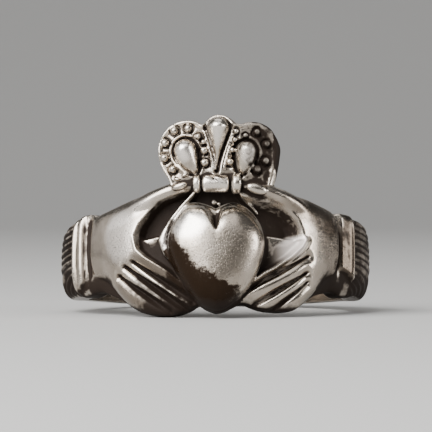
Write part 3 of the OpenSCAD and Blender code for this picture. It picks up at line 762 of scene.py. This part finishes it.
# worn polish on the drops, the bar, the seat's rim, the heart's upper left and the left hand, partly
# painted highlight
POLISH_AND_HIGHLIGHT = [
    (-2.15, 6.3, 0.75, 0.85, 0, 0.2, 1), (0.12, 7.5, 0.6, 1.0, 0, 0.2, 1),
    (2.1, 6.1, 0.5, 0.8, 0, 0.3, 0.6), (-3.0, 2.0, 0.25, 1.4, 0.75, 0.2, 1),
    (-1.7, 1.5, 1.4, 1.3, 0.3, 0.4, 1), (-3.75, 0.3, 0.5, 1.8, 0.15, 0.2, 1.5),
    (-0.1, 4.0, 1.8, 0.5, 0, 0.3, 1), (-6.4, 2.4, 2.4, 0.6, 0.42, 0.3, 0.5),
    (-7.2, 0.9, 1.5, 2.0, 0.2, 0.5, 0.6),
]
# painted shade on the right cuff
RIGHT_CUFF_SHADE = [(11.35, 0.4, 0.82, 2.7, 0, 0.15, 1)]
# painted shade: spots darkened on the wrists, the right thumb and the left fingers
SHADED_SPOTS = [
    (9.5, 0.3, 1.5, 2.6, 0, 0.4, 0.5), (7.4, 2.4, 3.0, 1.0, -0.38, 0.3, 0.65),
    (-6.5, -3.3, 1.6, 0.75, -0.6, 0.3, 0.6), (-9.7, 0.2, 0.9, 2.6, 0, 0.3, 0.3),
    (-3.9, -1.75, 2.5, 0.7, -0.55, 0.4, 0.85),
]
PALM_FLAT = [(5.3, -0.12, 1.6, 0.72, 0.55, 0.3, 1)]


class Value:
    """One value or colour of the shader; arithmetic on it adds Math nodes."""

    def __init__(self, socket):
        self.socket = socket

    @classmethod
    def node(cls, kind, settings, sockets, out=0):
        node = tree.nodes.new("ShaderNode" + kind)
        for name, value in settings.items():
            setattr(node, name, value)
        for name, value in sockets.items():
            if isinstance(value, cls):
                tree.links.new(value.socket, node.inputs[name])
            else:
                node.inputs[name].default_value = value
        return cls(node.outputs[out])

    def math(self, operation, first, second=0.0):
        return self.node("Math", {"operation": operation}, {0: first, 1: second})

    def __add__(self, other):
        return self.math("ADD", self, other)

    def __sub__(self, other):
        return self.math("SUBTRACT", self, other)

    def __rsub__(self, other):
        return self.math("SUBTRACT", other, self)

    def __mul__(self, other):
        return self.math("MULTIPLY", self, other)

    def __neg__(self):
        return self.math("MULTIPLY", self, -1)

    def __abs__(self):
        return self.math("ABSOLUTE", self)

    __radd__ = __add__
    __rmul__ = __mul__

    def at_least(self, low):
        return self.math("MAXIMUM", self, low)

    def between(self, low, high, to_low=0.0, to_high=1.0):
        return self.node("MapRange", {"interpolation_type": "SMOOTHSTEP"},
                         {0: self, 1: low, 2: high, 3: to_low, 4: to_high})


def attribute(name):
    return Value.node("Attribute", {"attribute_name": name}, {}, 2)


def noise(spot, scale, detail, roughness=0.55):
    sockets = {"Vector": spot, "Scale": scale, "Detail": detail, "Roughness": roughness}
    return Value.node("TexNoise", {}, sockets)


def blend(share, first, second):
    return Value.node("Mix", {"data_type": "RGBA"}, {0: share, 6: first, 7: second}, 2)


in_metres = Value.node("TexCoord", {}, {}, 3)
in_mm = Value.node("VectorMath", {"operation": "SCALE"}, {0: in_metres, "Scale": 1000})
drawn = Value.node("VectorMath", {"operation": "MULTIPLY"}, {0: in_mm, 1: (1.1, 1.6, 22)})
mottle = noise(in_mm, 0.75, 4)
cloud = noise(in_mm, 2.4, 4)
grain = noise(in_mm, 6.5, 3, 0.8)
speckle = noise(in_mm, 11, 2, 0.8)
streak = noise(drawn, 1, 2)
spot_u, spot_z = attribute("face_u"), attribute("face_z")
spot_d, under = abs(spot_u), -spot_z
inside = attribute("inside")
shown = 1 - inside


def patch(u, z, wide, high, turn, broken):
    """A soft-edged spot on the face, its outline broken up by the mottling."""
    du, dz = spot_u - u, spot_z - z
    along = (du * math.cos(turn) + dz * math.sin(turn)) * (1 / wide)
    over = (dz * math.cos(turn) - du * math.sin(turn)) * (1 / high)
    return (1.25 - along * along - over * over + (cloud - 0.5) * broken).between(0.0, 0.9)


def patches(rows):
    """The patches of a table, each at its strength, added up."""
    return sum(patch(*row) * strength for *row, strength in rows)


# painted light: the flat of the right palm is painted bright, and made satin;
# painted shade darkens the steep walls, but not at the back
painted_palm_light = patches(PALM_FLAT) * spot_u.between(3.8, 6.0) * shown
flank = attribute("flank").between(0.1, 0.75) * (1 - spot_d.between(17, 19))
# dark patina settles in what lies low; painted shade darkens the frills, the undersides, the steep walls
# and the listed spots
settled = attribute("recess") * 3.0 + attribute("hollow") * 0.65 + attribute("shade") * 0.24
settled = (settled * (1 - spot_z.between(4.8, 5.3) * 0.25)).at_least(-0.08)
frills = spot_u.between(11.95, 12.35) + (-spot_u).between(12.75, 13.1)
frills = frills * (1 - spot_d.between(17.8, 18.8)) * (1 - spot_z.between(12, 30))
# painted shade under the wrists
wrist_under = under.between(0.9, 2.4) * spot_d.between(7.3, 9.0) * (1 - spot_d.between(10.9, 11.6) * 0.5)
shade_and_dirt = patches(SHADE_AND_DIRT_SPOTS) + frills * 0.42 + wrist_under * 0.7 + flank * 0.27
# painted shade along the lowest edge of the hands
shade_and_dirt = shade_and_dirt + under.between(3.3, 4.4) * 0.45
stains = (mottle - 0.5) * 0.5 + (cloud - 0.5) * 0.35 + (grain - 0.5) * 0.1
patina_and_shade = (settled + shade_and_dirt + stains * 0.7) * shown + stains * 0.3 + inside * 0.06
patina_and_shade = patina_and_shade.between(0.05, 0.45) * (1 - painted_palm_light * 0.85)
crest = ((cloud - 0.5) * 0.06 - attribute("recess")).between(0.02, 0.14)
tarnish_and_shade = (patches(TARNISH_AND_SHADE) * 1.5 + (speckle - 0.5) * 2.4 + (cloud - 0.5) * 0.8).between(0.15, 1.7) * shown
pitted = patches(PITTED).between(0, 1) * shown
cells_mm = Value.node("TexVoronoi", {}, {"Vector": in_mm, "Scale": 6.5, "Randomness": 1.0})
pits = (0.42 - cells_mm + (grain - 0.5) * 0.8).between(0.0, 0.25) * pitted
scratches = (0.012 - abs(streak - 0.47)).between(0.0, 0.01)
polish_and_highlight = patches(POLISH_AND_HIGHLIGHT)
right_cuff_shade = patches(RIGHT_CUFF_SHADE)
painted_shade = right_cuff_shade * 0.95 + patches(SHADED_SPOTS)

tone = blend(mottle.between(0.35, 0.65), (0.39, 0.335, 0.275, 1), (0.48, 0.42, 0.355, 1))
# Coats over the bare metal, the lowest first: share of the metal that it covers, colour
COATS = [
    # painted shade on the steep walls
    (flank * 0.75, (0.13, 0.098, 0.07, 1)),
    # worn polish, partly painted highlight
    (polish_and_highlight * shown, (0.94, 0.875, 0.805, 1)),
    # painted shade on the hole's wall, the metal beside it and the shank's rim
    (inside * 0.6, (0.2, 0.17, 0.14, 1)),
    (crest * 0.5, (0.74, 0.67, 0.575, 1)),
    # painted shade
    (painted_shade * shown, (0.15, 0.118, 0.09, 1)),
    # painted shade on the right cuff, darker still
    (right_cuff_shade * 0.6 * shown, (0.035, 0.027, 0.021, 1)),
    (pitted * grain.between(0.42, 0.68) * 0.3, (0.15, 0.125, 0.1, 1)),
    # painted light on the flat of the right palm
    (painted_palm_light, (0.8, 0.74, 0.7, 1)),
    # brown tarnish, partly painted shade
    (tarnish_and_shade, (0.0165, 0.0095, 0.0053, 1)),
    # dark patina in the hollows, with painted shade
    (patina_and_shade, (0.017, 0.0115, 0.0085, 1)),
    (pits * 0.5, (0.04, 0.03, 0.024, 1)),
]
for share, colour in COATS:
    tone = blend(share, tone, colour)
metal = (1 - patina_and_shade * 0.95) * (1 - tarnish_and_shade * 0.7)
rough = 0.29 + patina_and_shade * 0.26 + painted_palm_light * 0.3 + pitted * 0.06 + (grain - 0.5) * 0.15 + polish_and_highlight * 0.04
height = (grain - 0.5) * (pitted * 0.28 + 0.08) - pits * 0.4 - scratches * 0.06 + (cloud - 0.5) * 0.03
bump = Value.node("Bump", {}, {"Strength": 0.5, "Distance": 0.00004, "Height": height})
tree.links.new(tone.socket, bsdf.inputs["Base Color"])
tree.links.new(metal.socket, bsdf.inputs["Metallic"])
tree.links.new(rough.between(0.12, 0.75, 0.12, 0.75).socket, bsdf.inputs["Roughness"])
tree.links.new(bump.socket, bsdf.inputs["Normal"])
bsdf.inputs["Specular IOR Level"].default_value = 0.08
ring.data.materials.clear()
ring.data.materials.append(silver)

# Floor and light
# A pale paper sheet that sweeps up behind the ring. A big soft window of light stands at the upper
# left, small ones low on both sides, and broad ones above and behind.
floor_w, floor_rise, sweep_r = 1.2, 0.8, 0.35
lit_z = 0.006
bpy.ops.object.select_all(action="DESELECT")
bpy.ops.mesh.primitive_plane_add(size=floor_w)
floor = bpy.context.object
floor.name = "floor"
bpy.ops.object.mode_set(mode="EDIT")
bpy.ops.mesh.select_all(action="DESELECT")
bpy.ops.object.mode_set(mode="OBJECT")
for edge in floor.data.edges:
    edge.select = all(floor.data.vertices[i].co.y > 0.5 for i in edge.vertices)
bpy.ops.object.mode_set(mode="EDIT")
bpy.ops.mesh.select_mode(type="EDGE")
bpy.ops.mesh.extrude_region_move(TRANSFORM_OT_translate={"value": (0, 0, floor_rise)})
bpy.ops.object.mode_set(mode="OBJECT")
modify(floor, "BEVEL", width=sweep_r, segments=24, limit_method="ANGLE")
only(floor)
bpy.ops.object.shade_smooth()
paper = bpy.data.materials.new("pale_paper")
paper.use_nodes = True
paper.node_tree.nodes["Principled BSDF"].inputs["Base Color"].default_value = (0.4, 0.395, 0.385, 1)
paper.node_tree.nodes["Principled BSDF"].inputs["Roughness"].default_value = 0.9
floor.data.materials.append(paper)

world = bpy.data.worlds.new("studio")
world.use_nodes = True
world.node_tree.nodes["Background"].inputs["Color"].default_value = (0.3, 0.3, 0.31, 1)
world.node_tree.nodes["Background"].inputs["Strength"].default_value = 0.24
bpy.context.scene.world = world


def softbox(name, turn, up, far, wide, high, power):
    """A soft light: degrees round from the camera's side and up, distance, width, height, power."""
    turn, up = math.radians(turn), math.radians(up)
    way = Vector((math.sin(turn) * math.cos(up), -math.cos(turn) * math.cos(up), math.sin(up)))
    bpy.ops.object.light_add(type="AREA", location=Vector((0, 0, lit_z)) + way * far)
    lamp = bpy.context.object
    lamp.name = name
    lamp.data.shape = "RECTANGLE"
    lamp.data.size, lamp.data.size_y = wide, high
    lamp.data.energy = power
    lamp.rotation_euler = way.to_track_quat("Z", "Y").to_euler()


softbox("key_light", -42, 36, 0.3, 0.28, 0.28, 2.9)
softbox("left_light", -98, 15, 0.35, 0.3, 0.16, 0.15)
softbox("side_light", 80, 13, 0.3, 0.12, 0.13, 0.5)
softbox("top_light", 8, 62, 0.5, 0.5, 0.4, 1.0)
softbox("back_light", 175, 60, 0.6, 0.4, 0.2, 0.6)

# Camera
# It stands 0.3 m in front of the ring's face and barely above it, with a long lens, so that little of
# the ring is foreshortened. The lens is shifted to leave the ring low in the picture, as in the photo.
camera_far = 0.3
picture_px, metres_per_px = 432, 0.00007
hole_row = 266.6
film_w = 36
bpy.ops.object.camera_add()
camera = bpy.context.object
camera.data.sensor_width = film_w
camera.data.lens = film_w * camera_far / (picture_px * metres_per_px)
camera.data.clip_start = 0.01
rise = math.radians(1.84)
aim = Vector(bore["pos_m"])
camera.location = aim + camera_far * Vector((0, -math.cos(rise), math.sin(rise)))
camera.rotation_euler = (aim - camera.location).to_track_quat("-Z", "Y").to_euler()
camera.data.shift_y = (hole_row - picture_px / 2) / picture_px
bpy.context.scene.camera = camera
